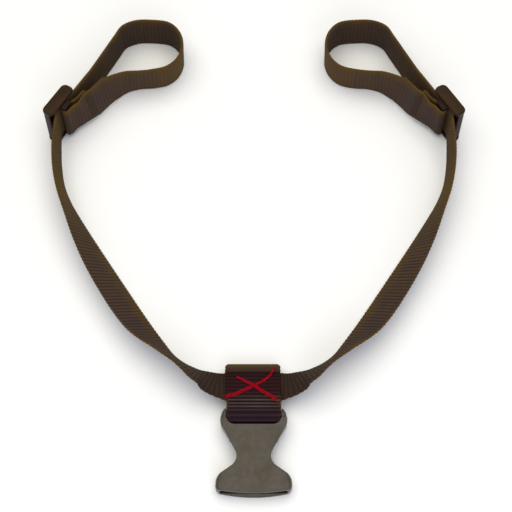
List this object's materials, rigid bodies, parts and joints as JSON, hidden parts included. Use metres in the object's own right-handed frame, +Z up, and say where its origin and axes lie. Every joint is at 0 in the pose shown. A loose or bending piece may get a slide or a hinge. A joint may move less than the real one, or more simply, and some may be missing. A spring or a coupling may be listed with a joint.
{
  "type": "instrument neck strap",
  "caption": "Webbing neck strap laid out in a Y: sewn centre tab with a side-release buckle socket, and an arm on each side ending in a slider-adjusted loop.",
  "frame": {"origin": "centre of the strap's footprint, on the table it lies on", "axes": "+X across the strap to its right-hand arm, +Y from the buckle towards the loops, +Z up from the table"},
  "size_m": [0.2134, 0.2599, 0.025],
  "materials": {
    "strap_webbing": "woven",
    "tab_webbing": "woven",
    "buckle_plastic": "satin moulded",
    "slider_plastic": "gloss moulded",
    "red_thread": "twisted thread",
    "dark_thread": "twisted thread"
  },
  "bodies": {
    "yoke": {"tab_webbing": "tab_webbing", "strap_middle": "strap_webbing", "red_cross_stitch": "red_thread"},
    "buckle": {"buckle_receptacle": "buckle_plastic"},
    "left_arm": {"left_arm_strap": "strap_webbing", "left_loop_strap": "strap_webbing", "left_loop_return": "strap_webbing"},
    "left_adjuster": {"left_slider": "slider_plastic", "left_sewn_end": "strap_webbing", "left_end_stitch": "dark_thread"},
    "right_arm": {"right_arm_strap": "strap_webbing", "right_loop_strap": "strap_webbing", "right_loop_return": "strap_webbing"},
    "right_adjuster": {"right_slider": "slider_plastic", "right_sewn_end": "strap_webbing", "right_end_stitch": "dark_thread"}
  },
  "joints": [
    {"name": "buckle_pivot", "type": "hinge", "parent": "yoke", "child": "buckle", "pos_m": [0, -0.0935, 0.0068], "axis": [-1, 0, 0], "range_deg": [-45, 80]},
    {"name": "left_arm_spread", "type": "hinge", "parent": "yoke", "child": "left_arm", "pos_m": [-0.04065, -0.06361, 0.00896], "axis": [0, 0, 1], "range_deg": [-10, 40]},
    {"name": "left_slider_slide", "type": "slide", "parent": "left_arm", "child": "left_adjuster", "axis": [0.5, 0.866, 0], "range_m": [0, 0.012], "deforming": ["left_loop_return"]},
    {"name": "right_arm_spread", "type": "hinge", "parent": "yoke", "child": "right_arm", "pos_m": [0.04065, -0.06361, 0.00896], "axis": [0, 0, -1], "range_deg": [-10, 40]},
    {"name": "right_slider_slide", "type": "slide", "parent": "right_arm", "child": "right_adjuster", "axis": [-0.5, 0.866, 0], "range_m": [0, 0.012], "deforming": ["right_loop_return"]}
  ]
}
